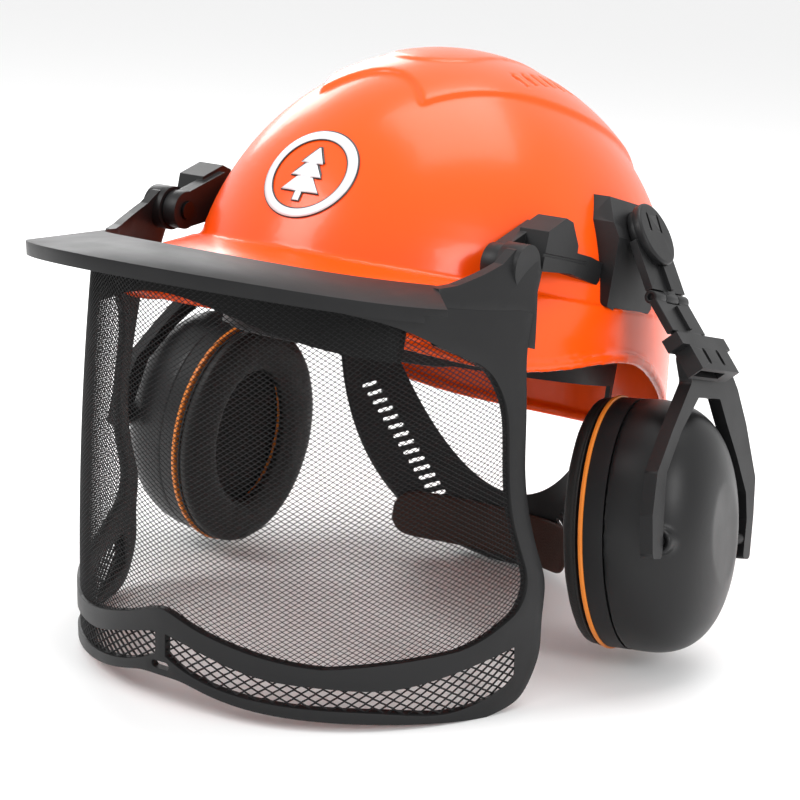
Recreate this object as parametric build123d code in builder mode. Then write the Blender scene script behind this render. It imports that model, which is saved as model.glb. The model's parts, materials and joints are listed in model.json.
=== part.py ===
"""Forestry helmet: hard shell with harness, flip-up mesh visor and two ear muffs on hinged arms.

Everything is modelled in the level helmet's own frame: x to the wearer's left, y to the back,
z up, with the origin at the middle of the dome's base ellipse. The last lines tip the whole
helmet back until it rests on its visor and nape strap, with the floor at z = 0.
"""
from build123d import *

import os
from math import cos, radians, sin

# ---------------------------------------------------------------- driving dimensions (mm, degrees)
DOME = (103.5, 131.5, 122.5)      # dome half width, half length and height
DOME_SHIFT = 5.0                  # how far the dome's middle sits behind the origin
WALL = 2.6                        # shell wall
RIM = (106.5, 181.0, 140.0)       # rim half width, front reach (brim) and back reach (nape)
BRIM_TOP = 20.0                   # height where the brim flares out of the dome
RIM_LIP = 4.5                     # height of the rolled lip along the rim

BAND = (84.0, 109.0)              # head band half width and half length
BAND_WALL = 2.0
BAND_LOW, BAND_HIGH = -16.0, 14.0
KNOB_HEIGHT = -102.0              # height of the nape knob's middle

STAND_TILT = 11.9                 # nose-up tilt of the helmet as it stands
VISOR_TILT = 18.0                 # rake of the visor's own upright, measured from the helmet's
VISOR_BASE = (0.0, 40.0, -128.6)  # visor frame's origin in the helmet frame
VISOR_MIDDLE = -60.0              # y of the middle of the visor's plan ellipses
VISOR_PLAN = [                    # height, half width and reach of the plan ellipses
    (0.0, 114.5, 137.0), (110.0, 111.6, 130.5), (220.0, 91.5, 125.5),
]
FRAME_WALL = 3.6
MESH_WALL = 0.8
PEAK_BASE = (-178.0, 205.5)       # y and z of the middle of the peak's rear edge
PEAK_PITCH = 6.8                  # rise of the peak toward its lip
PEAK_ARCH = 333.0                 # radius of the peak's arch seen from the front
PEAK_WALL = 2.6

HINGE = (-89.0, 29.5)             # visor hinge line, y and z
HINGE_PIN_R = 4.0
KNUCKLE_FACE = 98.2               # outer face of the visor's hinge knuckle
RUNNING = 0.06                    # radial clearance of a pin in its hole
GAP = 0.4                         # clearance between bodies that move past each other

ARM_PIVOT = (103.6, -1.0, 52.1)   # middle of the muff arm's turning disc
UPPER_SPLAY = 31.8                # lean of the upper arm plate away from the head
LOWER_SPLAY = 42.6                # lean of the lower arm plate
UPPER_LENGTH = 29.1               # disc centre to fold pin
LOWER_LENGTH = 23.5               # fold pin to the middle of the fork's head
ARM_WIDTH = 33.0
ARM_WALL = 3.4

CUP_CENTRE = (117.0, 16.0, -72.5) # middle of the cup's rim
CUP_LEAN, CUP_SPLAY, CUP_TOE = 13.5, -7.0, 8.0
CUP = (44.5, 56.5, 40.0)          # cup half width, half height and depth
CUP_WALL = 3.0
TILT_LINE = (147.0, -73.0)        # cup tilt line, x and z
FORK_LEAN = 8.8                   # lean of the fork toward the head, going up

pieces = {}                       # node name -> finished solid in the helmet frame


def keep(name, solid):
    """Store one finished piece under its node name."""
    solid.label = name
    pieces[name] = solid


def keep_pair(name, solid):
    """Store a left-hand piece and its mirror image on the right."""
    keep(name + "_left", solid)
    with BuildPart() as right:
        mirror(solid, about=Plane.YZ)
    keep(name + "_right", right.part)


def egg(height, half_width, front, back):
    """Level outline made of a front half ellipse and a back half ellipse."""
    with BuildSketch(Plane.XY.offset(height)) as outline:
        with BuildLine():
            EllipticalCenterArc((0, 0), half_width, back, start_angle=0, arc_size=180)
            EllipticalCenterArc((0, 0), half_width, front, start_angle=180, arc_size=180)
        make_face()
    return outline.sketch


def side_area(points, *corners):
    """Side-view sketch between a curve and the given corners."""
    with BuildSketch(Plane.YZ) as area:
        with BuildLine():
            edge = Spline(points)
            Polyline(edge @ 1, *corners, edge @ 0)
        make_face()
    return area.sketch


# ---------------------------------------------------------------- shell
BRIM_SECTIONS = [                 # height, half width, front reach, back reach
    (BRIM_TOP, DOME[0] + 0.5, 127.0, 136.5),
    (12.0, 104.5, 160.0, 138.0),
    (3.0, 105.5, 177.0, 139.0),
    (-6.0, RIM[0], RIM[1], RIM[2]),
    (-55.0, RIM[0] + 1.0, RIM[1] + 1.0, RIM[2] + 2.0),
]
RIM_LINE = [                      # y and z of the rim's edge seen from the side
    (-190.0, -8.0), (-120.0, -11.5), (-88.0, -13.0), (-50.0, -9.0), (-15.0, -3.5), (10.0, -3.8),
    (30.0, -9.0), (52.0, -17.0), (80.0, -28.0), (112.0, -37.5), (145.0, -41.0),
]
FAR = 250.0                       # beyond everything


def brim_body(inset):
    """Loft of the brim and skirt, drawn in by the inset."""
    with BuildPart() as body:
        loft([egg(height - inset, half_width - inset, front - inset, back - inset)
              for height, half_width, front, back in BRIM_SECTIONS])
    return body.part


def dome_body(outset):
    """Dome as a scaled sphere, grown by the outset and set back by DOME_SHIFT."""
    with BuildPart() as body:
        Sphere(1.0)
        scale(by=(DOME[0] + outset, DOME[1] + outset, DOME[2] + outset))
    return body.part.moved(Pos(0, DOME_SHIFT, 0))


def below_rim(drop):
    """Side-view sketch of everything below the rim line lowered by the drop."""
    with BuildSketch(Plane.YZ) as area:
        with BuildLine():
            edge = Spline([(y, z - drop) for y, z in RIM_LINE])
            Polyline(edge @ 1, (200, -200), (-250, -200), edge @ 0)
        make_face()
    return area.sketch


with BuildPart() as dome_outer:
    add(dome_body(0))
    split(bisect_by=Plane.XY.offset(BRIM_TOP - 6), keep=Keep.TOP)

with BuildPart() as dome_inner:
    add(dome_body(-WALL))
    split(bisect_by=Plane.XY.offset(BRIM_TOP - 12), keep=Keep.TOP)

with BuildPart() as crown_ridge:
    add(dome_body(2.0))
    with BuildSketch(Plane.XY.offset(30)):
        with BuildLine():
            side = Spline((27, -78), (41, -50), (60, 0), (60, 50), (46, 92))
            Line(side @ 1, (-46, 92))
            mirror(side, about=Plane.YZ)
            Spline((27, -78), (0, -66), (-27, -78))
        make_face()
    extrude(amount=FAR, mode=Mode.INTERSECT)

with BuildPart() as crown_spine:
    add(dome_body(2.9))
    with BuildSketch(Plane.XY.offset(30)):
        with Locations((0, 22)):
            SlotOverall(150, 42, rotation=90)
    extrude(amount=FAR, mode=Mode.INTERSECT)

brim_outer = brim_body(0)
brim_inner = brim_body(WALL * 0.85)

with BuildPart() as rim_lip:
    extrude(egg(-60, RIM[0] + 2.0, RIM[1] + 2.0, RIM[2] + 2.5), amount=70)
    extrude(egg(-60, RIM[0] - 1.5, RIM[1] - 1.5, RIM[2] - 1.5), amount=70, mode=Mode.SUBTRACT)
    extrude(below_rim(-RIM_LIP), amount=FAR, both=True, mode=Mode.INTERSECT)

with BuildPart() as shell:
    add(dome_outer.part)
    add(crown_ridge.part)
    add(crown_spine.part)
    add(brim_outer)
    add(dome_inner.part, mode=Mode.SUBTRACT)
    add(brim_inner, mode=Mode.SUBTRACT)
    add(rim_lip.part)
    extrude(below_rim(0), amount=FAR, both=True, mode=Mode.SUBTRACT)
    for row in range(14):
        with BuildSketch(Plane.XY.offset(60)):
            with Locations(*[(side * 40, -24 + row * 8) for side in (-1, 1)]):
                Rectangle(9, 2.6)
        extrude(amount=FAR, mode=Mode.SUBTRACT)
keep("shell", shell.part)


# ---------------------------------------------------------------- harness
def band_ring(outset, wall, low, high):
    """Elliptical ring following the head band."""
    with BuildPart() as ring:
        with BuildSketch(Plane.XY.offset(low)):
            Ellipse(BAND[0] + outset, BAND[1] + outset)
            Ellipse(BAND[0] + outset - wall, BAND[1] + outset - wall, mode=Mode.SUBTRACT)
        extrude(amount=high - low)
    return ring.part


with BuildPart() as headband:
    add(band_ring(0, BAND_WALL, BAND_LOW, BAND_HIGH))
    fillet(headband.edges().group_by(Axis.Z)[-1], 0.8)
keep("headband", headband.part)

with BuildPart() as sweatband_pad:
    add(band_ring(-BAND_WALL - 0.2, 5.0, BAND_LOW - 2, BAND_HIGH))
    with BuildSketch(Plane.XZ.offset(60)):
        with Locations((0, -2)):
            RectangleRounded(2 * 73, 31.8, 7)
    extrude(amount=80, mode=Mode.INTERSECT)
keep("sweatband_pad", sweatband_pad.part)

# the nape strap seen from the side: straight top edge, curved foot
NAPE_TOP = [(68.8, -16), (108, -84)]
NAPE_FOOT = [(43, -16), (64, -68.7), (109.5, -118)]

with BuildPart() as nape_strap:
    with BuildSketch(Plane.YZ):
        with BuildLine():
            foot = ThreePointArc(*NAPE_FOOT)
            Polyline(foot @ 1, (150, -118), (150, -84), NAPE_TOP[1], NAPE_TOP[0],
                     (68.8, 0), (43, 0), foot @ 0)
        make_face()
    extrude(amount=FAR, both=True)
    add(band_ring(0, BAND_WALL, -150, BAND_LOW), mode=Mode.INTERSECT)
    for step in range(14):
        angle = radians(35.5 + 28 / 13 * step)
        for side in (-1, 1):
            spot = Plane(origin=(side * BAND[0] * cos(angle), BAND[1] * sin(angle), -40 - 50 / 13 * step),
                         z_dir=(side * cos(angle), 0.77 * sin(angle), 0),
                         x_dir=(-side * 0.77 * sin(angle), cos(angle), 0.38))
            with BuildSketch(spot):
                SlotOverall(8.8, 2.1)
            extrude(amount=5, both=True, mode=Mode.SUBTRACT)
keep("nape_strap", nape_strap.part)

with BuildPart() as nape_housing:
    add(band_ring(7.2, 7.0, -114, -90))
    with BuildSketch(Plane.XZ):
        with Locations((0, KNOB_HEIGHT)):
            RectangleRounded(64, 24, 8)
    extrude(amount=-FAR, mode=Mode.INTERSECT)
    with Locations(Location((0, BAND[1] + 7, KNOB_HEIGHT), (90, 0, 0))):
        Cylinder(3.0, 12, mode=Mode.SUBTRACT)
keep("nape_housing", nape_housing.part)

with BuildPart() as nape_knob:
    with BuildSketch(Plane.XZ.offset(-BAND[1] - 7.6)):
        with Locations((0, KNOB_HEIGHT)):
            Circle(11)
            with PolarLocations(11.6, 18):
                Circle(1.0, mode=Mode.SUBTRACT)
    extrude(amount=-9)
    fillet(nape_knob.faces().sort_by(Axis.Y)[-1].edges(), 0.5)
    with BuildSketch(Plane.XZ.offset(-BAND[1] - 3)):
        with Locations((0, KNOB_HEIGHT)):
            Circle(3.0 - RUNNING)
    extrude(amount=-5)
keep("nape_knob", nape_knob.part)

with BuildPart() as nape_pad:
    add(band_ring(-BAND_WALL - 0.2, 4.0, -116, -89))
    with BuildSketch(Plane.XZ):
        with Locations((0, KNOB_HEIGHT)):
            RectangleRounded(88, 24, 6)
    extrude(amount=-FAR, mode=Mode.INTERSECT)
keep("nape_pad", nape_pad.part)

STRAP_WIDTH, STRAP_WALL = 20.0, 1.4
CROWN_CLEAR = 22.0                # gap between the dome and the crown straps


def crown_strap(plane, half_span, drop):
    """Arched strap over the head in the given plane."""
    height = DOME[2] - CROWN_CLEAR - drop
    with BuildPart() as strap:
        with BuildSketch(plane):
            Ellipse(half_span, height)
            Ellipse(half_span - STRAP_WALL, height - STRAP_WALL, mode=Mode.SUBTRACT)
            with Locations((0, -FAR / 2 + BAND_HIGH + 1)):
                Rectangle(FAR * 2, FAR, mode=Mode.SUBTRACT)
        extrude(amount=STRAP_WIDTH / 2, both=True)
    return strap.part


crown_strap_long = crown_strap(Plane.YZ, BAND[1] - 0.4, 0)
crown_strap_cross = crown_strap(Plane.XZ, BAND[0] - 0.4, STRAP_WALL + 1.2)
keep("crown_strap_long", crown_strap_long)
keep("crown_strap_cross", crown_strap_cross)

with BuildPart() as crown_pad:
    with BuildSketch(Plane.XY.offset(DOME[2] - CROWN_CLEAR - 2 * STRAP_WALL - 18)):
        RectangleRounded(64, 64, 16)
    extrude(amount=4)
keep("crown_pad", crown_pad.part)

with BuildPart() as harness_clips:
    clip_height = 24.0
    for angle in (0, 90, 180, 270):
        at = (BAND[0] * cos(radians(angle)), BAND[1] * sin(radians(angle)))
        reach = 15 if angle in (0, 180) else 12
        with Locations(Location((at[0], at[1], BAND_HIGH - 2), (0, 0, angle))):
            Box(reach, STRAP_WIDTH + 6, clip_height, align=(Align.MIN, Align.CENTER, Align.MIN))
    add(dome_outer.part, mode=Mode.INTERSECT)
    add(shell.part, mode=Mode.SUBTRACT)
    add(crown_strap_long, mode=Mode.SUBTRACT)
    add(crown_strap_cross, mode=Mode.SUBTRACT)
    add(headband.part, mode=Mode.SUBTRACT)
keep("harness_clips", harness_clips.part)

# ---------------------------------------------------------------- muff adaptors and visor brackets
arm_normal = Vector(cos(radians(UPPER_SPLAY)), 0, sin(radians(UPPER_SPLAY)))
arm_down = Vector(sin(radians(UPPER_SPLAY)), 0, -cos(radians(UPPER_SPLAY)))
pivot = Vector(*ARM_PIVOT)
pivot_plane = Plane(origin=pivot, x_dir=(0, 1, 0), z_dir=arm_normal)

with BuildPart() as adaptor:
    with BuildSketch(Plane.YZ.offset(80)):
        with BuildLine():
            Polyline((-24.5, 20), (-25, 56), (-20, 67), (10, 66.5), (17, 56), (17.5, 22), (13, 17.5),
                     (-6, 16.5), close=True)
        make_face()
        fillet(vertices().group_by(Axis.Y)[0], 3)
    extrude(amount=23)
    with BuildSketch(pivot_plane.offset(-1.2 - GAP)):
        Circle(60)
    extrude(amount=40, mode=Mode.SUBTRACT)
    with BuildSketch(pivot_plane.offset(-2)):
        Circle(3.0)
    extrude(amount=5.4)
    add(dome_outer.part, mode=Mode.SUBTRACT)
    add(brim_outer, mode=Mode.SUBTRACT)
    add(crown_ridge.part, mode=Mode.SUBTRACT)

with BuildPart() as visor_bracket:
    with BuildSketch(Plane.YZ.offset(84)):
        with BuildLine():
            Polyline((-77, 29.5), (-77, 46), (-64, 53), (-58, 52), (-50, 43), (-49, 31), close=True)
        make_face()
    extrude(amount=14)
    with BuildSketch(Plane.YZ.offset(91)):
        with BuildLine():
            Polyline((-51, 30.5), (-51, 40), (-36, 39.5), (-25.02, 38), (-25.02, 28), close=True)
        make_face()
    extrude(amount=6.5)
    with BuildSketch(Plane.YZ.offset(80.5)):
        with Locations(HINGE):
            Circle(8.5)
        with BuildLine():
            Polyline((-89, 38), (-66, 50), (-62, 30), (-89, 21), close=True)
        make_face()
    extrude(amount=7)
    add(dome_outer.part, mode=Mode.SUBTRACT)
    add(brim_outer, mode=Mode.SUBTRACT)
    add(crown_ridge.part, mode=Mode.SUBTRACT)
    with BuildSketch(Plane.YZ.offset(78)):
        with Locations(HINGE):
            Circle(HINGE_PIN_R)
    extrude(amount=12, mode=Mode.SUBTRACT)
    with BuildSketch(Plane.YZ.offset(97.2)):
        with Locations((-59, 36.5)):
            Rectangle(40, 1.2)
    extrude(amount=2, mode=Mode.SUBTRACT)

with BuildPart() as hinge_pin:
    with BuildSketch(Plane.YZ.offset(79)):
        with Locations(HINGE):
            Circle(HINGE_PIN_R)
    extrude(amount=16)

keep_pair("adaptor", adaptor.part)
keep_pair("visor_bracket", visor_bracket.part)
keep_pair("visor_hinge_pin", hinge_pin.part)

# ---------------------------------------------------------------- visor, in its own upright frame
visor_place = Location(Plane(origin=VISOR_BASE, x_dir=(1, 0, 0),
                             z_dir=(0, -sin(radians(VISOR_TILT)), cos(radians(VISOR_TILT)))))
WINDOW_TOP = [(0, 196.5), (28, 195), (40, 193), (53, 190), (64.5, 186), (80, 177.5), (89, 168.5), (97, 159)]
WINDOW_FOOT = [(0, 60), (12.5, 56.2), (26, 51.5), (43.6, 46.2), (64, 41.6), (87, 39.7), (101, 41.5)]
BAND_FOOT = [(0, 31.2), (10, 30.8), (20, 28.2), (36, 24), (64, 19), (87, 14.3), (101, 9.9), (106, 8)]
POST_BACK = [(-74.8, 171.4), (-80.7, 160.8), (-86.4, 133.2), (-89.9, 111), (-89.5, 93.7), (-84, 71),
             (-81, 60), (-82.9, 43), (-84, 29), (-89.6, 17.5), (-95.2, 11.6), (-103.6, 9), (-114, 8)]
POST_FRONT = [(-124.3, 168.6), (-110, 160), (-103.6, 154.7), (-99.5, 147.8), (-96.7, 137), (-97.2, 125),
              (-99, 104.5), (-98.2, 91.7), (-93.5, 73), (-91.5, 63.6), (-93.4, 56), (-97.4, 51.2),
              (-104.5, 47.5), (-114.5, 43.8), (-125.8, 41.5)]
PANE_TOP = [(2.6, 49.8), (19.5, 45), (43.7, 37.2), (67.3, 33), (87, 30.1), (101, 32.6), (110.4, 35.7)]
PANE_FOOT = [(2.6, 40), (15, 34.3), (43.8, 27.2), (64.3, 24), (87, 18.6), (101, 15), (108, 18.7),
             (110.4, 25)]


def visor_wall(outset, wall, low, high):
    """Curved visor wall between two heights."""
    with BuildPart() as body:
        for grow, mode in ((outset, Mode.ADD), (outset - wall, Mode.SUBTRACT)):
            for height, half_width, reach in VISOR_PLAN:
                with BuildSketch(Plane.XY.offset(height)):
                    with Locations((0, VISOR_MIDDLE)):
                        Ellipse(half_width + grow, reach + grow)
            loft(mode=mode)
        split(bisect_by=Plane.XY.offset(low), keep=Keep.TOP)
        split(bisect_by=Plane.XY.offset(high), keep=Keep.BOTTOM)
    return body.part


def both_ways(points):
    """Curve points mirrored about the middle plane, the first one lying on it."""
    return [(-x, z) for x, z in reversed(points[1:])] + points


def front_area(points, close_height):
    """Front-view sketch between a symmetric curve and a level line."""
    with BuildSketch(Plane.XZ) as area:
        with BuildLine():
            edge = Spline(both_ways(points))
            Polyline(edge @ 1, (150, points[-1][1]), (150, close_height), (-150, close_height),
                     (-150, points[-1][1]), edge @ 0)
        make_face()
    return area.sketch


with BuildPart() as window:
    extrude(front_area(WINDOW_FOOT, 230), amount=FAR)
    extrude(front_area(WINDOW_TOP, 10), amount=FAR, mode=Mode.INTERSECT)
    extrude(side_area(POST_FRONT, (-260, 41.5), (-260, 230), (-124.3, 230)), amount=FAR, both=True,
            mode=Mode.INTERSECT)

with BuildPart() as chin_panes:
    with BuildSketch(Plane.XZ):
        with BuildLine():
            top = Spline(PANE_TOP)
            low = Spline(PANE_FOOT)
            Line(top @ 0, low @ 0)
            Line(top @ 1, low @ 1)
        make_face()
        mirror(about=Plane.YZ)
    extrude(amount=FAR)
    with BuildSketch(Plane.YZ):
        with Locations((-190, 30)):
            Rectangle(190, 100)
    extrude(amount=FAR, both=True, mode=Mode.INTERSECT)

# the peak, drawn on a plane square to its own rise
peak_plane = Plane(origin=(0, PEAK_BASE[0] + 100, PEAK_BASE[1] - 100 * sin(radians(PEAK_PITCH))),
                   x_dir=(1, 0, 0), z_dir=(0, -cos(radians(PEAK_PITCH)), sin(radians(PEAK_PITCH))))


def arch(low, high):
    """Arched slab under the peak's top, between two offsets from the peak's underside."""
    with BuildPart() as slab:
        with BuildSketch(peak_plane):
            with Locations((0, -PEAK_ARCH)):
                Circle(PEAK_ARCH + high)
                Circle(PEAK_ARCH + low, mode=Mode.SUBTRACT)
            Rectangle(260, 200, mode=Mode.INTERSECT)
        extrude(amount=200)
    return slab.part


BROW_FOOT = [(0, 190), (20.5, 186.5), (37.8, 179.8), (56.6, 171.9), (68, 167.4), (78.5, 162.9),
              (84.8, 158.5), (92.5, 154)]
PEAK_EDGE = [(0, -224.5), (29, -218), (53, -202.5), (74, -181), (91, -155), (99.5, -135)]
PEAK_REAR = [(0, -178), (29, -172), (54.6, -155.6), (74.5, -130.6), (82, -117)]


def crescent(inset):
    """Plan of the peak as a tall block, its outer edge drawn in by the inset."""
    shrink = 1 - inset / 120
    with BuildPart() as block:
        with BuildSketch(Plane.XY.offset(150)):
            with BuildLine():
                outer = Spline(both_ways([(x * shrink, y + inset) for x, y in PEAK_EDGE]))
                inner = Spline(both_ways(PEAK_REAR))
                Line(outer @ 0, inner @ 0)
                Line(outer @ 1, inner @ 1)
            make_face()
        extrude(amount=90)
    return block.part


with BuildPart() as peak_hollow:
    add(crescent(2.4))
    with BuildSketch(Plane.XY.offset(150)):
        with Locations((0, -70)):
            Rectangle(260, 150)
    extrude(amount=90)
    add(arch(-12, 0), mode=Mode.INTERSECT)

with BuildPart() as peak:
    add(crescent(0))
    add(arch(-3.0, PEAK_WALL), mode=Mode.INTERSECT)
    add(peak_hollow.part, mode=Mode.SUBTRACT)

with BuildPart() as visor_frame:
    add(visor_wall(0, FRAME_WALL, 2, 214))
    extrude(side_area(POST_BACK, (-114, -40), (240, -40), (240, 260), (-74.8, 260)), amount=FAR,
            both=True, mode=Mode.SUBTRACT)
    extrude(front_area(BAND_FOOT, -30), amount=FAR, both=True, mode=Mode.SUBTRACT)
    add(window.part, mode=Mode.SUBTRACT)
    add(chin_panes.part, mode=Mode.SUBTRACT)
    with BuildSketch(Plane.XZ):
        with Locations((0, 35.6)):
            SlotOverall(9, 3.2)
    extrude(amount=FAR, mode=Mode.SUBTRACT)
    add(arch(-3.2, 60), mode=Mode.SUBTRACT)
    with BuildSketch(Plane.YZ):
        with BuildLine():
            Polyline((-127, 192), (-60, 167), (-60, 260), (-127, 260), close=True)
        make_face()
    extrude(amount=FAR, both=True, mode=Mode.SUBTRACT)

with BuildPart() as mesh_screen:
    add(visor_wall(-1.2, MESH_WALL, 30, 205))
    add(window.part, mode=Mode.INTERSECT)

with BuildPart() as chin_grille:
    add(visor_wall(-1.0, 1.4, 6, 70))
    add(chin_panes.part, mode=Mode.INTERSECT)

with BuildPart() as brow_strip:   # dark strip behind the mesh along the window's top
    add(visor_wall(-3.6, 2.2, 148, 205))
    extrude(front_area(BROW_FOOT, 230), amount=FAR, mode=Mode.INTERSECT)
    with BuildSketch(Plane.XZ.offset(-VISOR_MIDDLE)):   # front half only, between the visor's arms
        with Locations((0, 180)):
            Rectangle(156, 120)
    extrude(amount=FAR, mode=Mode.INTERSECT)
    add(arch(-3.2, 60), mode=Mode.SUBTRACT)

for name, piece in (("visor_frame", visor_frame), ("mesh_screen", mesh_screen),
                    ("chin_grille", chin_grille), ("brow_strip", brow_strip), ("peak", peak)):
    keep(name, piece.part.moved(visor_place))

with BuildPart() as visor_arm:
    add(visor_wall(0, 4.4, 150, 220).moved(visor_place))
    with BuildSketch(Plane.YZ):
        with BuildLine():
            Polyline((-89, 39.3), (-97, 36), (-104, 29.5), (-114, 24), (-126, 18), (-134, 15.5),
                     (-134, 2), (-82, -2), (-82, 21), (-79.2, 29.5), (-82, 36.4), close=True)
        make_face()
    extrude(amount=FAR, mode=Mode.INTERSECT)
    with BuildSketch(Plane.YZ.offset(88.2)):
        with Locations(HINGE):
            Circle(9.8)
    extrude(amount=KNUCKLE_FACE - 88.2)
    with BuildSketch(Plane.YZ.offset(80)):
        with Locations(HINGE):
            Circle(HINGE_PIN_R + RUNNING)
    extrude(amount=15.2, mode=Mode.SUBTRACT)
    add(pieces["visor_frame"], mode=Mode.SUBTRACT)
    add(pieces["peak"], mode=Mode.SUBTRACT)
    add(pieces["mesh_screen"], mode=Mode.SUBTRACT)
keep_pair("visor_arm", visor_arm.part)

# ---------------------------------------------------------------- muff arm, left hand
fold = pivot + arm_down * UPPER_LENGTH
lower_down = Vector(sin(radians(LOWER_SPLAY)), 0, -cos(radians(LOWER_SPLAY)))
lower_normal = Vector(cos(radians(LOWER_SPLAY)), 0, sin(radians(LOWER_SPLAY)))
fork_head = fold + lower_down * LOWER_LENGTH
upper_plane = Plane(origin=fold, x_dir=(0, 1, 0), z_dir=arm_normal)
lower_plane = Plane(origin=fold, x_dir=(0, 1, 0), z_dir=lower_normal)
FOLD_PIN_R = 1.4
KNUCKLE_R = 2.9

with BuildPart() as pivot_disc:
    with BuildSketch(pivot_plane.offset(ARM_WALL - 1.2)):
        Circle(14.6)
    extrude(amount=3.8)
    fillet(pivot_disc.faces().sort_by(Axis((0, 0, 0), arm_normal))[-1].edges(), 1.4)
    with BuildSketch(pivot_plane.offset(ARM_WALL + 3.4)):
        with Locations((-5, 5), (5, 5)):
            SlotOverall(9, 1.8, rotation=84)
    extrude(amount=-2.4, mode=Mode.SUBTRACT)
    with BuildSketch(pivot_plane):
        Circle(3.0 + RUNNING)
    extrude(amount=3.6, mode=Mode.SUBTRACT)

with BuildPart() as arm_plate:
    with BuildSketch(pivot_plane.offset(-1.2)):
        Circle(13.4)
        with Locations((0, -UPPER_LENGTH / 2)):
            Rectangle(ARM_WIDTH, UPPER_LENGTH - 6)
        Circle(3.0 + RUNNING, mode=Mode.SUBTRACT)
    extrude(amount=ARM_WALL)
    with BuildSketch(pivot_plane.offset(ARM_WALL - 1.2)):
        with Locations((0, -UPPER_LENGTH / 2 - 5)):
            Rectangle(3, 13)
    extrude(amount=2)
    with BuildSketch(Plane(origin=fold + Vector(0, -6, 0), x_dir=(1, 0, 0), z_dir=(0, 1, 0))):
        Circle(KNUCKLE_R)
    extrude(amount=12)
    with BuildSketch(pivot_plane.offset(-1.2)):
        with Locations((0, -UPPER_LENGTH + 2)):
            Rectangle(12, 4)
    extrude(amount=ARM_WALL)
    add(pivot_disc.part, mode=Mode.SUBTRACT)
    with BuildSketch(Plane(origin=fold + Vector(0, -30, 0), x_dir=(1, 0, 0), z_dir=(0, 1, 0))):
        Circle(FOLD_PIN_R)
    extrude(amount=60, mode=Mode.SUBTRACT)

with BuildPart() as fold_pin:
    with BuildSketch(Plane(origin=fold + Vector(0, -15, 0), x_dir=(1, 0, 0), z_dir=(0, 1, 0))):
        Circle(FOLD_PIN_R)
    extrude(amount=30)

with BuildPart() as slide_plate:
    with BuildSketch(lower_plane.offset(-1.7)):
        with Locations((0, -(3.4 + 18) / 2)):
            Rectangle(ARM_WIDTH, 18 - 3.4)
        with Locations((0, -24)):
            Rectangle(24, 16)
    extrude(amount=ARM_WALL)
    with BuildSketch(lower_plane.offset(ARM_WALL - 1.7)):
        with Locations((0, -11)):
            Rectangle(3, 12)
    extrude(amount=1.6)
    for start in (-ARM_WIDTH / 2, 6 + GAP):
        with BuildSketch(Plane(origin=fold + Vector(0, start, 0), x_dir=(1, 0, 0), z_dir=(0, 1, 0))):
            Circle(KNUCKLE_R)
        extrude(amount=ARM_WIDTH / 2 - 6 - GAP)
    with BuildSketch(lower_plane.offset(-1.7)):
        with Locations((-ARM_WIDTH / 4 - 3 - GAP / 2, -2.5), (ARM_WIDTH / 4 + 3 + GAP / 2, -2.5)):
            Rectangle(ARM_WIDTH / 2 - 6 - GAP, 5)
    extrude(amount=ARM_WALL)
    with BuildSketch(Plane(origin=fold + Vector(0, -30, 0), x_dir=(1, 0, 0), z_dir=(0, 1, 0))):
        Circle(FOLD_PIN_R + RUNNING)
    extrude(amount=60, mode=Mode.SUBTRACT)

head_plane = Plane(origin=fork_head, x_dir=(0, 1, 0), z_dir=lower_normal)
# the fork's own plane: leaned toward the head, its middle passing through the tilt line
fork_plane = Plane(origin=(TILT_LINE[0], 0, TILT_LINE[1]), x_dir=(0, 1, 0),
                   z_dir=(cos(radians(FORK_LEAN)), 0, sin(radians(FORK_LEAN))))

with BuildPart() as fork:
    with BuildSketch(fork_plane.offset(-3)):
        with BuildLine():
            Polyline((-11, 80), (-5, 68), (-22, 47), (-35, 29), (-38, 11), (-36, -7), (-27, -7),
                     (-27, 11), (-26, 29), (-13, 47), (3, 62), (25, 62), (33, 52), (46, 37), (58, 21),
                     (60, 9), (57.5, -9), (65, -9), (67.5, 11), (68, 28), (55, 52), (44, 67), (30, 80),
                     close=True)
        make_face()
        fillet(vertices(), 2.4)
    extrude(amount=6)
    with BuildSketch(head_plane.offset(-4)):
        with Locations((5, -7)):
            Rectangle(38, 16)
        with Locations((4, 0)):
            Rectangle(49, 6)
    extrude(amount=8)
    with BuildSketch(head_plane.offset(-1.7 - GAP)):
        with Locations((0, -8)):
            Rectangle(24 + 2 * GAP, 46)
    extrude(amount=ARM_WALL + 2 * GAP, mode=Mode.SUBTRACT)
    with BuildSketch(head_plane):
        with Locations((-2, -8), (12, -8)):
            SlotOverall(8, 3, rotation=90)
    extrude(amount=12, both=True, mode=Mode.SUBTRACT)
    with BuildSketch(Plane.XZ.offset(34)):
        with Locations(TILT_LINE):
            Circle(2.6)
    extrude(amount=-12)
    with BuildSketch(Plane.XZ.offset(-64)):
        with Locations(TILT_LINE):
            Circle(2.6)
    extrude(amount=12)

# ---------------------------------------------------------------- ear cup, left hand
cup_place = Pos(*CUP_CENTRE) * Rot(0, 0, CUP_TOE) * Rot(CUP_LEAN, 0, 0) * Rot(0, CUP_SPLAY, 0)
CUP_SECTIONS = [(0.0, 1.0), (0.3, 1.0), (0.62, 0.93), (0.86, 0.74), (1.0, 0.4)]


def cup_body(inset):
    """Loft of the cup's outer form, drawn in by the inset."""
    with BuildPart() as body:
        for depth, share in CUP_SECTIONS:
            with BuildSketch(Plane.YZ.offset(depth * (CUP[2] - inset))):
                Ellipse(CUP[0] * share - inset, CUP[1] * share - inset)
        loft()
    return body.part


def rim_ring(start, end, half_width, half_height, hole_width, hole_height):
    """Flat oval ring between two depths."""
    with BuildPart() as ring:
        with BuildSketch(Plane.YZ.offset(start)):
            Ellipse(half_width, half_height)
            Ellipse(hole_width, hole_height, mode=Mode.SUBTRACT)
        extrude(amount=end - start)
    return ring.part


with BuildPart() as back_plate:
    add(rim_ring(-9.0, -0.01, CUP[0], CUP[1], 32, 44))

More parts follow.
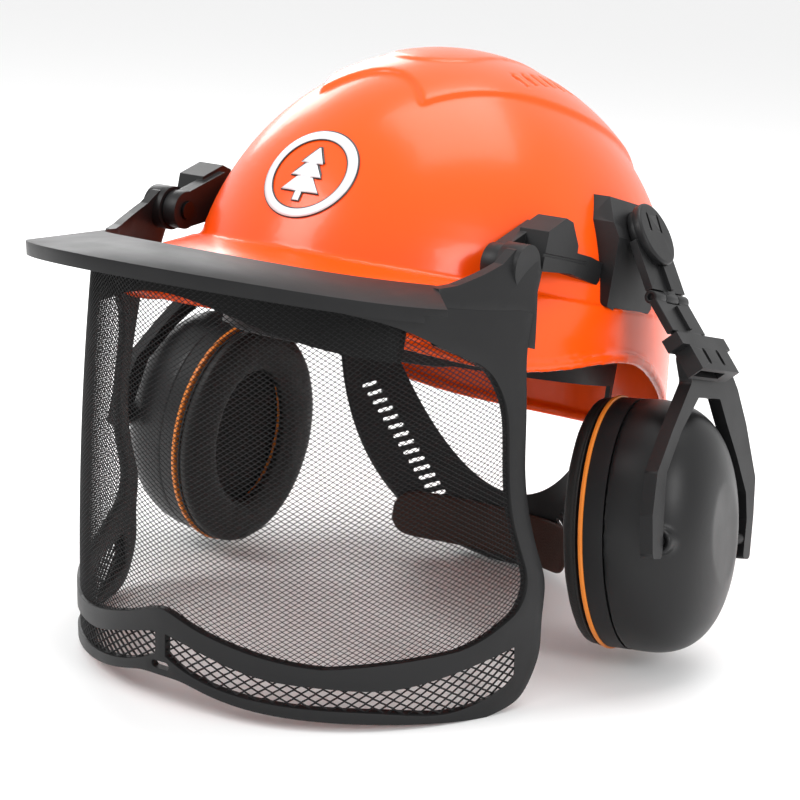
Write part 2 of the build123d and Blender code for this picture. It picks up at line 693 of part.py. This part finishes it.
with BuildPart() as trim_ring:
    add(rim_ring(-11.0, -9.01, CUP[0] + 0.8, CUP[1] + 0.8, 26, 38))

with BuildPart() as cushion:
    add(rim_ring(-20.0, -11.01, CUP[0] - 0.5, CUP[1] - 0.5, 23, 34))
    fillet(cushion.faces().sort_by(Axis.X)[0].edges(), 4.0)

with BuildPart() as foam:
    with BuildSketch(Plane.YZ.offset(-8.0)):
        Ellipse(31.5, 43.5)
    extrude(amount=14)

with BuildPart() as cup_shell:
    add(cup_body(0).moved(cup_place))
    with BuildSketch(Plane.XZ.offset(25)):
        with Locations(TILT_LINE):
            Circle(5.5)
    extrude(amount=-18)
    add(cup_body(CUP_WALL).moved(cup_place), mode=Mode.SUBTRACT)
    with BuildSketch(Plane.XZ.offset(40)):
        with Locations(TILT_LINE):
            Circle(2.6 + RUNNING)
    extrude(amount=-18.5, mode=Mode.SUBTRACT)
    with BuildSketch(Plane.XZ.offset(-51.5)):
        with Locations(TILT_LINE):
            Circle(2.6 + RUNNING)
    extrude(amount=-18.5, mode=Mode.SUBTRACT)

keep_pair("pivot_disc", pivot_disc.part)
keep_pair("arm_plate", arm_plate.part)
keep_pair("fold_pin", fold_pin.part)
keep_pair("slide_plate", slide_plate.part)
keep_pair("fork", fork.part)
keep_pair("cup_shell", cup_shell.part)
for name, piece in (("trim_ring", trim_ring), ("back_plate", back_plate),
                    ("cushion", cushion), ("foam_insert", foam)):
    keep_pair(name, piece.part.moved(cup_place))

# ---------------------------------------------------------------- stand the helmet on the floor
tilt = Location((0, 0, 0), (-STAND_TILT, 0, 0))
corners = [piece.moved(tilt).bounding_box() for piece in pieces.values()]
middle = (min(box.min.Y for box in corners) + max(box.max.Y for box in corners)) / 2
floor = min(box.min.Z for box in corners)
stand = Pos(0, -middle, -floor) * tilt

os.makedirs("parts", exist_ok=True)
for name, piece in pieces.items():
    standing = piece.moved(stand)
    standing.label = name
    export_step(standing, f"parts/{name}.step")
print("stand", tuple(stand.position), tuple(stand.orientation))
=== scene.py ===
"""Forestry helmet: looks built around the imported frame.

Frames, all in metres: the row frame is the one the part stands in; the helmet frame is the level
helmet's own (x to the wearer's left, y back, z up); the visor frame is the visor's upright; the cup
frame has x pointing out of an ear cup.
"""
import json
from math import asin, cos, hypot, pi, radians, sin, sqrt

import bmesh
import bpy
from mathutils import Euler, Matrix, Vector, noise
from mathutils.bvhtree import BVHTree


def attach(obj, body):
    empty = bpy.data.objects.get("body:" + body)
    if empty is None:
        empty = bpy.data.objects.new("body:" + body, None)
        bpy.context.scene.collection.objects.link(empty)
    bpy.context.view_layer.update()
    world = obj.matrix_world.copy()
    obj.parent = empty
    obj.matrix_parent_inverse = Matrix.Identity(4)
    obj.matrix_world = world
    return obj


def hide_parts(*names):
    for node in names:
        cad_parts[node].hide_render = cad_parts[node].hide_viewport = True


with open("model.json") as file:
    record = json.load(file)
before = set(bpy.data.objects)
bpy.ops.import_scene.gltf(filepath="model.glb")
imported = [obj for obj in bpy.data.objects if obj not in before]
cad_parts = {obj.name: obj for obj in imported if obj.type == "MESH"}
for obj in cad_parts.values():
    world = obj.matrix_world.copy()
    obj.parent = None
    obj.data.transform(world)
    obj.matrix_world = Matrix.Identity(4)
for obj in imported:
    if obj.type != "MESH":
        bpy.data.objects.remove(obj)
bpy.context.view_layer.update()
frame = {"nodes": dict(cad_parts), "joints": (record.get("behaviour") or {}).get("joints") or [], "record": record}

MM = 0.001
NODES = frame["nodes"]
SIDES = (("left", 1), ("right", -1))

# ---------------------------------------------------------------- sizes repeated from the part, mm
STAND_TILT = 11.9
HINGE = Vector((0, -89, 29.5))
DOME = (103.5, 131.5, 122.5)
DOME_SHIFT = 5.0
BAND = (84.0, 109.0)
BAND_WALL = 2.0
CROWN_CLEAR = 22.0
STRAP_WALL, STRAP_WIDTH = 1.4, 20.0
VISOR_BASE, VISOR_TILT = Vector((0, 40, -128.6)), 18.0
VISOR_MIDDLE = -60.0
VISOR_PLAN = [(0.0, 114.5, 137.0), (110.0, 111.6, 130.5), (220.0, 91.5, 125.5)]
CUP_CENTRE = Vector((117, 16, -72.5))
CUP_LEAN, CUP_SPLAY, CUP_TOE = 13.5, -7.0, 8.0
KNOB_HEIGHT = -102.0
STRAP_START = 15.0                # height at which the crown straps leave the head band

# ---------------------------------------------------------------- sizes used only for the looks
WAVE_BAND = 0.314                 # wave texture scale times pitch, for one band per pitch
SCREEN_CELL, SCREEN_STRAND = (3.2, 2.1), 0.5
CHIN_CELL, CHIN_STRAND = (5.6, 3.8), 1.15
BADGE_MIDDLE = 53.0               # height of the badge's middle on the dome
BADGE_SQUASH = 0.889              # foreshortening of the badge's height on the sloping dome
DOME_MEAN = 115.0                 # mean dome radius, for lifting the badge off the shell
FLOOR_HALF = 30                   # half side of the studio floor, m

# ---------------------------------------------------------------- frames
visor_joint = next(j for j in frame["joints"] if j["name"] == "visor_flip")
to_row_turn = Matrix.Rotation(radians(-STAND_TILT), 3, "X")
stand_shift = Vector(visor_joint["pos_m"]) / MM - to_row_turn @ HINGE
cup_turn = (Matrix.Rotation(radians(CUP_TOE), 3, "Z") @ Matrix.Rotation(radians(CUP_LEAN), 3, "X")
            @ Matrix.Rotation(radians(CUP_SPLAY), 3, "Y"))
visor_turn = Matrix.Rotation(radians(VISOR_TILT), 3, "X")


def helmet(point):
    """Row-frame place, in metres, of a helmet-frame point in mm."""
    return (to_row_turn @ Vector(point) + stand_shift) * MM


def visor(point):
    """Row-frame place, in metres, of a visor-frame point in mm."""
    return helmet(VISOR_BASE + visor_turn @ Vector(point))


def cup(point, hand):
    """Row-frame place, in metres, of a cup-frame point in mm; hand is 1 for left, -1 for right."""
    place = CUP_CENTRE + cup_turn @ Vector(point)
    return helmet((hand * place.x, place.y, place.z))


# ---------------------------------------------------------------- materials
def new_material(name):
    """Empty node material with its shader."""
    material = bpy.data.materials.new(name)
    material.use_nodes = True
    return material, material.node_tree.nodes, material.node_tree.links


def textured(name, low, high, roughness, scale, depth, spread=0.08, coat=0.0, sheen=0.0, fine=None,
             patchy=12.0, specular=0.5):
    """Moulded or woven surface: mottled colour, varied roughness and a fine bump."""
    material, nodes, links = new_material(name)
    shader = nodes["Principled BSDF"]
    shader.inputs["Coat Weight"].default_value = coat
    shader.inputs["Coat Roughness"].default_value = 0.08
    shader.inputs["Sheen Weight"].default_value = sheen
    shader.inputs["Specular IOR Level"].default_value = specular
    place = nodes.new("ShaderNodeTexCoord")

    def speckle(size, detail):
        texture = nodes.new("ShaderNodeTexNoise")
        texture.inputs["Scale"].default_value = size
        texture.inputs["Detail"].default_value = detail
        links.new(place.outputs["Object"], texture.inputs["Vector"])
        return texture

    broad = speckle(patchy, 4)
    colour = nodes.new("ShaderNodeMixRGB")
    colour.inputs[1].default_value = (*low, 1)
    colour.inputs[2].default_value = (*high, 1)
    links.new(broad.outputs["Fac"], colour.inputs[0])
    links.new(colour.outputs[0], shader.inputs["Base Color"])
    worn = nodes.new("ShaderNodeMapRange")
    worn.inputs["To Min"].default_value = roughness - spread
    worn.inputs["To Max"].default_value = roughness + spread
    links.new(speckle(patchy * 5, 6).outputs["Fac"], worn.inputs["Value"])
    links.new(worn.outputs[0], shader.inputs["Roughness"])
    grain = fine(nodes, links, place) if fine else speckle(scale, 3).outputs["Fac"]
    bump = nodes.new("ShaderNodeBump")
    bump.inputs["Strength"].default_value = 0.6
    bump.inputs["Distance"].default_value = depth * MM
    links.new(grain, bump.inputs["Height"])
    links.new(bump.outputs[0], shader.inputs["Normal"])
    return material


def weave(pitch):
    """Bump source of two crossed sets of threads, pitch in mm."""
    def source(nodes, links, place):
        sets = []
        for direction in ("X", "Z"):
            wave = nodes.new("ShaderNodeTexWave")
            wave.bands_direction = direction
            wave.inputs["Scale"].default_value = WAVE_BAND / (pitch * MM)
            wave.inputs["Distortion"].default_value = 0.6
            links.new(place.outputs["Object"], wave.inputs["Vector"])
            sets.append(wave.outputs["Fac"])
        both = nodes.new("ShaderNodeMath")
        both.operation = "MULTIPLY"
        links.new(sets[0], both.inputs[0])
        links.new(sets[1], both.inputs[1])
        return both.outputs[0]
    return source


def cells(pitch):
    """Bump source of small cells, as in leather grain or foam, pitch in mm."""
    def source(nodes, links, place):
        texture = nodes.new("ShaderNodeTexVoronoi")
        texture.inputs["Scale"].default_value = 1 / (pitch * MM)
        links.new(place.outputs["Object"], texture.inputs["Vector"])
        return texture.outputs["Distance"]
    return source


def ribs(pitch):
    """Bump source of close upright ribs, pitch in mm."""
    def source(nodes, links, place):
        wave = nodes.new("ShaderNodeTexWave")
        wave.bands_direction = "X"
        wave.inputs["Scale"].default_value = WAVE_BAND / (pitch * MM)
        links.new(place.outputs["Object"], wave.inputs["Vector"])
        return wave.outputs["Fac"]
    return source


LOOKS = {
    "shell_orange": textured("shell_orange", (0.94, 0.075, 0.001), (1.0, 0.09, 0.002), 0.26, 900, 0.02,
                             spread=0.03, coat=0.14, patchy=6, specular=0.32),
    "ring_orange": textured("ring_orange", (0.72, 0.2, 0.02), (0.8, 0.24, 0.03), 0.35, 900, 0.02,
                            specular=0.35),
    "black_plastic": textured("black_plastic", (0.006, 0.006, 0.0065), (0.01, 0.01, 0.0105), 0.44, 1500, 0.05,
                              specular=0.28),
    "cup_black": textured("cup_black", (0.006, 0.006, 0.0065), (0.009, 0.009, 0.0095), 0.38, 1800, 0.04,
                          specular=0.3),
    "visor_black": textured("visor_black", (0.006, 0.006, 0.0065), (0.01, 0.01, 0.0105), 0.44, 1500, 0.05,
                            specular=0.28),
    "peak_black": textured("peak_black", (0.006, 0.006, 0.0065), (0.01, 0.01, 0.0105), 0.48, 1200, 0.03,
                           specular=0.22),
    "mesh_black": textured("mesh_black", (0.007, 0.007, 0.0075), (0.013, 0.013, 0.0135), 0.5, 3000, 0.02,
                           specular=0.25),
    "brow_rubber": textured("brow_rubber", (0.006, 0.006, 0.006), (0.01, 0.01, 0.01), 0.6, 0, 0.5,
                            specular=0.25, fine=ribs(3.0)),
    "harness_plastic": textured("harness_plastic", (0.008, 0.008, 0.0085), (0.014, 0.014, 0.0145), 0.5, 1500,
                                0.05, specular=0.3),
    "cushion_black": textured("cushion_black", (0.006, 0.0055, 0.0055), (0.012, 0.011, 0.01), 0.48, 0, 0.16,
                              specular=0.3, fine=cells(0.9)),
    "foam_black": textured("foam_black", (0.012, 0.012, 0.013), (0.03, 0.029, 0.028), 0.95, 0, 0.5,
                           spread=0.04, specular=0.2, fine=cells(1.3)),
    "sweatband": textured("sweatband", (0.012, 0.012, 0.013), (0.026, 0.026, 0.028), 0.9, 0, 0.3, spread=0.05,
                          sheen=0.15, specular=0.2, fine=weave(1.2)),
    "strap_grey": textured("strap_grey", (0.02, 0.02, 0.022), (0.038, 0.038, 0.042), 0.85, 0, 0.3,
                           spread=0.05, sheen=0.15, specular=0.2, fine=weave(1.6)),
    "pad_brown": textured("pad_brown", (0.03, 0.012, 0.008), (0.055, 0.022, 0.013), 0.6, 0, 0.2,
                          specular=0.3, fine=cells(1.0)),
    "steel": textured("steel", (0.03, 0.03, 0.031), (0.045, 0.045, 0.046), 0.4, 2500, 0.01),
}
LOOKS["steel"].node_tree.nodes["Principled BSDF"].inputs["Metallic"].default_value = 1.0
BADGE_GREY = textured("badge_grey", (0.62, 0.62, 0.64), (0.74, 0.74, 0.76), 0.35, 1500, 0.01, spread=0.04,
                      coat=0.2)
BADGE_DARK = textured("badge_dark", (0.02, 0.02, 0.022), (0.03, 0.03, 0.032), 0.4, 1500, 0.01)

SLOT_OF = {entry["node"]: entry["material_slot"] for entry in frame["record"]["subparts"]}
for node, piece in NODES.items():
    piece.data.materials.clear()
    piece.data.materials.append(LOOKS[SLOT_OF[node]])

# moulded softness: plates get small rounded edges; the shell and cups are evened out and smoothed,
# given as voxel size in mm and rounds of smoothing
MOULDED = {"shell": (0.95, 10), "cup_shell_left": (0.9, 14), "cup_shell_right": (0.9, 14)}
BEVELLED = ("adaptor", "arm_plate", "slide_plate", "fork", "visor_bracket", "visor_arm", "peak", "pivot_disc",
            "visor_frame", "trim_ring")
for node, piece in NODES.items():
    if node in MOULDED:
        voxel, rounds = MOULDED[node]
        even = piece.modifiers.new("even", "REMESH")
        even.mode = "VOXEL"
        even.voxel_size = voxel * MM
        even.use_smooth_shade = True
        soft = piece.modifiers.new("soft", "SMOOTH")
        soft.factor = 0.5
        soft.iterations = rounds
    elif node.removesuffix("_left").removesuffix("_right") in BEVELLED:
        join = piece.modifiers.new("join", "WELD")
        join.merge_threshold = 0.01 * MM
        edge = piece.modifiers.new("edge", "BEVEL")
        edge.width = 0.55 * MM
        edge.segments = 2
        edge.limit_method = "ANGLE"
        edge.angle_limit = radians(40)
        edge.use_clamp_overlap = True


# ---------------------------------------------------------------- mesh helpers
def make(name, points, faces, look, body, replaced=()):
    """One finished piece from row-frame points, riding on its body."""
    mesh = bpy.data.meshes.new(name)
    mesh.from_pydata([tuple(p) for p in points], [], faces)
    mesh.validate()
    mesh.update()
    mesh.polygons.foreach_set("use_smooth", [True] * len(mesh.polygons))
    mesh.materials.append(look)
    piece = bpy.data.objects.new(name, mesh)
    bpy.context.scene.collection.objects.link(piece)
    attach(piece, body)
    if replaced:
        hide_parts(*replaced)
    return piece


def loops(rows, closed=False):
    """Points and faces of a skin over equal closed loops: capped at its ends, or joined round."""
    count, across = len(rows), len(rows[0])
    points = [p for row in rows for p in row]
    faces = []
    for i in range(count if closed else count - 1):
        for j in range(across):
            k = (j + 1) % across
            n = (i + 1) % count
            faces.append((i * across + j, i * across + k, n * across + k, n * across + j))
    if not closed:
        faces.append(tuple(reversed(range(across))))
        faces.append(tuple(range((count - 1) * across, count * across)))
    return points, faces


def outward(piece):
    """Turns the piece's faces to point outward."""
    work = bmesh.new()
    work.from_mesh(piece.data)
    bmesh.ops.recalc_face_normals(work, faces=work.faces)
    work.to_mesh(piece.data)
    work.free()
    return piece


def power(value, exponent):
    """Signed power, for superellipse profiles."""
    return (abs(value) ** exponent) * (1 if value >= 0 else -1)


def squarish(angle, half_a, half_b, exponent):
    """Point of a rounded-rectangle profile."""
    return half_a * power(cos(angle), exponent), half_b * power(sin(angle), exponent)


# ---------------------------------------------------------------- wire mesh of the visor
def plan_at(height, inset):
    """Half width and reach of the visor wall at a height, drawn in by the inset."""
    (z0, a0, b0), (z1, a1, b1), (z2, a2, b2) = VISOR_PLAN
    w0 = (height - z1) * (height - z2) / ((z0 - z1) * (z0 - z2))
    w1 = (height - z0) * (height - z2) / ((z1 - z0) * (z1 - z2))
    w2 = (height - z0) * (height - z1) / ((z2 - z0) * (z2 - z1))
    return a0 * w0 + a1 * w1 + a2 * w2 - inset, b0 * w0 + b1 * w1 + b2 * w2 - inset


def bvh_of(node):
    """Search tree over a CAD node's faces."""
    mesh = NODES[node].data
    return BVHTree.FromPolygons([v.co for v in mesh.vertices], [tuple(p.vertices) for p in mesh.polygons])


def lattice(name, node, cell, strand, inset, low, high, lap):
    """Diamond mesh over the stretch of visor wall that a CAD node covers, lapped into its frame."""
    tree = bvh_of(node)
    half_width, reach = plan_at(110, inset)
    steps, turn = [0.0], 0.0
    while turn < radians(86):                      # angles at even spacing along the wall
        turn += cell[0] / 2 / hypot(half_width * cos(turn), reach * sin(turn))
        steps.append(turn)
    angles = [-a for a in reversed(steps[1:])] + steps
    rows = int((high - low) / (cell[1] / 2)) + 1
    spots = {}
    for i, angle in enumerate(angles):
        for j in range(rows):
            if (i + j) % 2 == 0:
                height = low + j * cell[1] / 2
                a, b = plan_at(height, inset)
                spots[i, j] = visor((a * sin(angle), VISOR_MIDDLE - b * cos(angle), height))
    names, points, faces = {}, [], []
    for i, j in spots:
        corners = [(i, j), (i + 1, j + 1), (i, j + 2), (i - 1, j + 1)]
        if not all(c in spots for c in corners):
            continue
        middle = sum((spots[c] for c in corners), Vector()) / 4
        if tree.find_nearest(middle)[3] > lap * MM:
            continue
        for c in corners:
            if c not in names:
                names[c] = len(points)
                points.append(spots[c])
        faces.append(tuple(names[c] for c in corners))
    piece = make(name, points, faces, LOOKS["mesh_black"], "visor", (node,))
    wires = piece.modifiers.new("wires", "WIREFRAME")
    wires.thickness = strand * MM
    wires.use_boundary = True
    wires.use_even_offset = False
    wires.use_replace = True
    return piece


lattice("screen_mesh", "mesh_screen", SCREEN_CELL, SCREEN_STRAND, 1.6, 34, 204, 1.6)
lattice("chin_mesh", "chin_grille", CHIN_CELL, CHIN_STRAND, 1.7, 6, 60, 2.6)


# ---------------------------------------------------------------- ear cushions and foam
def cushion(side, hand):
    """Ear seal: a crowned ring with a wrinkled inner edge and a welt round its outside."""
    rows = []
    for i in range(144):
        angle = 2 * pi * i / 144
        row = []
        for j in range(36):
            turn = 2 * pi * j / 36
            across, depth = squarish(turn, 1, 1, 0.72)
            ripple = 0.35 * noise.noise((7 * cos(angle), 7 * sin(angle), 2 * across + 5 * hand))
            pinch = 1 + 0.03 * sin(angle * 26) * max(0, -across) ** 3
            wide = 33.5 + 10.4 * across * pinch
            tall = 45.0 + 10.9 * across * pinch
            x = -15.5 - (4.5 + ripple) * depth if depth > 0 else -15.5 - 4.4 * depth
            row.append(cup((x, wide * cos(angle), tall * sin(angle)), hand))
        rows.append(row)
    points, faces = loops(rows, closed=True)
    pad = outward(make(f"ear_cushion_{side}", points, faces, LOOKS["cushion_black"], f"cup_{side}",
                       (f"cushion_{side}",)))
    rows = []
    for i in range(144):
        angle = 2 * pi * i / 144
        spread = [(0.55 * cos(2 * pi * j / 8), 0.55 * sin(2 * pi * j / 8)) for j in range(8)]
        rows.append([cup((-13.0 + d, (43.9 + r) * cos(angle), (55.9 + r) * sin(angle)), hand)
                     for r, d in spread])
    points, faces = loops(rows, closed=True)
    outward(make(f"cushion_welt_{side}", points, faces, LOOKS["cushion_black"], f"cup_{side}"))


def foam(side, hand):
    """Foam slab with soft edges and an uneven open face."""
    rows = []
    profile = [(0.02, -8.0), (0.2, -8.0), (0.4, -7.9), (0.6, -7.7), (0.78, -7.3), (0.9, -6.6), (0.97, -5.2),
               (1.0, -3.0), (1.0, 3.0), (0.97, 5.0), (0.9, 6.0), (0.5, 6.0), (0.02, 6.0)]
    for share, depth in profile:
        row = []
        for i in range(96):
            angle = 2 * pi * i / 96
            lump = 0.35 * noise.noise((share * 9 * cos(angle), share * 9 * sin(angle), 3.0 + hand))
            row.append(cup((depth + lump + 0.4, 31.2 * share * cos(angle), 43.2 * share * sin(angle)), hand))
        rows.append(row)
    points, faces = loops(rows)
    pad = outward(make(f"ear_foam_{side}", points, faces, LOOKS["foam_black"], f"cup_{side}",
                       (f"foam_insert_{side}",)))


for side, hand in SIDES:
    cushion(side, hand)
    foam(side, hand)


# ---------------------------------------------------------------- harness padding and webbing
def band_pad(name, node, half_width, reach, thick, span, middle, half_height, facing, look):
    """Crowned pad along the head band; facing is -1 at the front and 1 at the back."""
    rows, stations = [], 72
    for i in range(stations + 1):
        part = 2 * i / stations - 1
        taper = max(0.12, (1 - abs(part) ** 14)) ** 0.5
        angle = radians(span) * part
        row = []
        for j in range(28):
            inward, up = squarish(2 * pi * j / 28, 1, 1, 0.6)
            crown = thick / 2 * (1 + inward * taper)
            row.append(helmet(((half_width - crown) * sin(angle), facing * (reach - crown) * cos(angle),
                               middle + up * half_height * taper)))
        rows.append(row)
    points, faces = loops(rows)
    pad = outward(make(name, points, faces, LOOKS[look], "helmet", (node,)))
    return pad


band_pad("sweatband", "sweatband_pad", BAND[0] - BAND_WALL - 0.2, BAND[1] - BAND_WALL - 0.2, 5.0, 54, -2, 15.9,
         -1, "sweatband")
band_pad("nape_cushion", "nape_pad", BAND[0] - BAND_WALL - 0.2, BAND[1] - BAND_WALL - 0.2, 4.0, 40,
         KNOB_HEIGHT, 12, 1, "pad_brown")


def stitches(name, half_width, reach, span, height, facing, gap, body, look):
    """Row of short raised stitches along a band pad."""
    points, faces = [], []
    count = int(radians(span) * 2 * (half_width + reach) / 2 / gap)
    for k in range(count):
        angle = radians(span) * (2 * (k + 0.5) / count - 1)
        start = angle - 0.5 * 0.6 * gap / reach
        rows = []
        for s in range(5):
            a = start + s / 4 * 0.6 * gap / reach
            lift = 0.3 * sin(pi * s / 4)
            rows.append([helmet(((half_width - lift) * sin(a) + 0.22 * cos(t), facing * (reach - lift) * cos(a),
                                 height + 0.22 * sin(t))) for t in (0, 1.57, 3.14, 4.71)])
        p, f = loops(rows)
        faces += [tuple(v + len(points) for v in face) for face in f]
        points += p
    return outward(make(name, points, faces, LOOKS[look], body))


inner_wide, inner_reach = BAND[0] - BAND_WALL - 5.1, BAND[1] - BAND_WALL - 5.1
for place, height in (("top", 9.5), ("foot", -13.5)):
    stitches(f"sweatband_stitches_{place}", inner_wide, inner_reach, 46, height, -1, 3.4, "helmet",
             "strap_grey")


def crown_strap(name, node, half_span, height, along):
    """Ribbed webbing arched over the head; along is 0 front to back, 1 side to side."""
    rows, stations = [], 96
    first = asin(STRAP_START / height)
    for i in range(stations + 1):
        angle = first + (pi - 2 * first) * i / stations
        row = []
        for j in range(48):
            side_way, out = squarish(2 * pi * j / 48, STRAP_WIDTH / 2, STRAP_WALL / 2, 0.35)
            out += 0.12 * cos(side_way / 1.1 * pi) * (1 if out > 0 else -1)
            radial = -STRAP_WALL / 2 + out
            run = (half_span + radial) * cos(angle)
            up = (height + radial) * sin(angle)
            row.append(helmet((side_way, run, up) if along == 0 else (run, side_way, up)))
        rows.append(row)
    points, faces = loops(rows)
    return outward(make(name, points, faces, LOOKS["strap_grey"], "helmet", (node,)))


strap_height = DOME[2] - CROWN_CLEAR
crown_strap("crown_webbing_long", "crown_strap_long", BAND[1] - 0.4, strap_height, 0)
crown_strap("crown_webbing_cross", "crown_strap_cross", BAND[0] - 0.4, strap_height - STRAP_WALL - 1.2, 1)


def crown_cushion():
    """Rounded square pad with four sewn channels under the crown straps."""
    low = strap_height - 2 * STRAP_WALL - 18
    rows = []
    for share, up in ((0.02, 0.0), (0.3, 0.0), (0.6, 0.05), (0.8, 0.3), (0.93, 0.9), (1.0, 2.0), (0.93, 3.1),
                      (0.8, 3.7), (0.6, 3.95), (0.3, 4.0), (0.02, 4.0)):
        row = []
        for i in range(96):
            x, y = squarish(2 * pi * i / 96, 32 * share, 32 * share, 0.55)
            channel = 0.8 * max(0, 1 - min(abs(abs(x) - 11), abs(abs(y) - 11)) / 1.6)
            inset = channel if up < 2 else -channel
            row.append(helmet((x, y, low + up + inset)))
        rows.append(row)
    points, faces = loops(rows)
    pad = outward(make("crown_cushion", points, faces, LOOKS["sweatband"], "helmet",
                       ("crown_pad",)))


crown_cushion()


# ---------------------------------------------------------------- generic badges
def on_dome(across, up, lift):
    """Row-frame place on the dome's front for flat badge coordinates in mm."""
    x, z = across, BADGE_MIDDLE + BADGE_SQUASH * up
    grow = 1 + lift / DOME_MEAN
    y = DOME_SHIFT - DOME[1] * grow * sqrt(1 - (x / DOME[0] / grow) ** 2 - (z / DOME[2] / grow) ** 2)
    return helmet((x, y, z))


def pine(half_widths, grow):
    """Rows of a stylised pine's outline as (height, half width)."""
    rows = []
    for low, high, wide, narrow in half_widths:
        for k in range(9):
            part = k / 8
            rows.append((low + (high - low) * part, wide + (narrow - wide) * part + grow))
    return rows


PINE = [(-13.5, -9.0, 1.6, 1.6), (-9.0, -1.5, 9.5, 3.6), (-1.5, 5.0, 7.6, 2.6), (5.0, 13.0, 5.6, 0.25)]


def badge(name, place, size, body, look, ring, grow, lift):
    """Round ring with a pine in it, as flat raised pieces on a surface."""
    points, faces = [], []
    for i in range(72):
        angle = 2 * pi * i / 72
        for j in range(4):
            radius = (ring[0] - grow + (ring[1] - ring[0] + 2 * grow) * j / 3) * size
            points.append(place(radius * sin(angle), radius * cos(angle), lift))
    for i in range(72):
        for j in range(3):
            n = (i + 1) % 72
            faces.append((i * 4 + j, i * 4 + j + 1, n * 4 + j + 1, n * 4 + j))
    start = len(points)
    rows = pine(PINE, grow)
    for height, half in rows:
        for j in range(9):
            points.append(place(half * (j / 4 - 1) * size, (height + grow * (1 if height > 0 else -1)) * size,
                                lift))
    for i in range(len(rows) - 1):
        for j in range(8):
            a = start + i * 9 + j
            faces.append((a, a + 1, a + 10, a + 9))
    piece = make(name, points, faces, look, body)
    thick = piece.modifiers.new("thickness", "SOLIDIFY")
    thick.thickness = 0.12 * MM
    thick.offset = 0
    return piece


badge("badge_outline", on_dome, 1.0, "helmet", BADGE_DARK, (17.6, 21.6), 0.55, 0.35)
badge("badge_face", on_dome, 1.0, "helmet", BADGE_GREY, (17.6, 21.6), 0.0, 0.6)

# ---------------------------------------------------------------- stage, light and camera
floor_mesh = bpy.data.meshes.new("studio_floor")
floor_mesh.from_pydata([(x * FLOOR_HALF, y * FLOOR_HALF, 0) for x, y in ((-1, -1), (1, -1), (1, 1), (-1, 1))],
                       [], [(0, 1, 2, 3)])
floor = bpy.data.objects.new("studio_floor", floor_mesh)
bpy.context.scene.collection.objects.link(floor)
pale, pale_nodes, _ = new_material("studio_floor")
pale_nodes["Principled BSDF"].inputs["Base Color"].default_value = (0.93, 0.93, 0.93, 1)
pale_nodes["Principled BSDF"].inputs["Roughness"].default_value = 0.9
floor_mesh.materials.append(pale)

world = bpy.data.worlds.new("studio")
world.use_nodes = True
world.node_tree.nodes["Background"].inputs["Color"].default_value = (1, 1, 1, 1)
world.node_tree.nodes["Background"].inputs["Strength"].default_value = 0.95
bpy.context.scene.world = world
bpy.context.scene.view_settings.view_transform = "Standard"

AIM = Vector((0, 0, 0.13))
LIGHTS = [                        # name, place, size, power
    ("key", (-0.9, -1.3, 1.5), 0.9, 20),
    ("side", (1.5, -0.5, 0.9), 0.6, 9),
    ("top", (0.2, 0.5, 1.8), 1.2, 16),
    ("rim", (-1.2, 1.0, 0.8), 0.7, 7),
]
for name, place, size, strength in LIGHTS:
    lamp = bpy.data.lights.new(name, "AREA")
    lamp.energy = strength
    lamp.size = size
    holder = bpy.data.objects.new(name, lamp)
    holder.location = place
    holder.rotation_euler = (AIM - Vector(place)).to_track_quat("-Z", "Y").to_euler()
    bpy.context.scene.collection.objects.link(holder)

camera_data = bpy.data.cameras.new("camera")
camera_data.sensor_width = 36
camera_data.lens = 94.2
camera_data.clip_start, camera_data.clip_end = 0.05, 50
camera = bpy.data.objects.new("camera", camera_data)
camera.location = (0.5172, -0.7552, 0.3290)
camera.rotation_euler = (Euler((radians(6.1), 0, 0)).to_matrix() @ Euler((0, 0, radians(34.43))).to_matrix()
                         @ Euler((radians(71.36), 0, 0)).to_matrix()).to_euler()
bpy.context.scene.collection.objects.link(camera)
bpy.context.scene.camera = camera
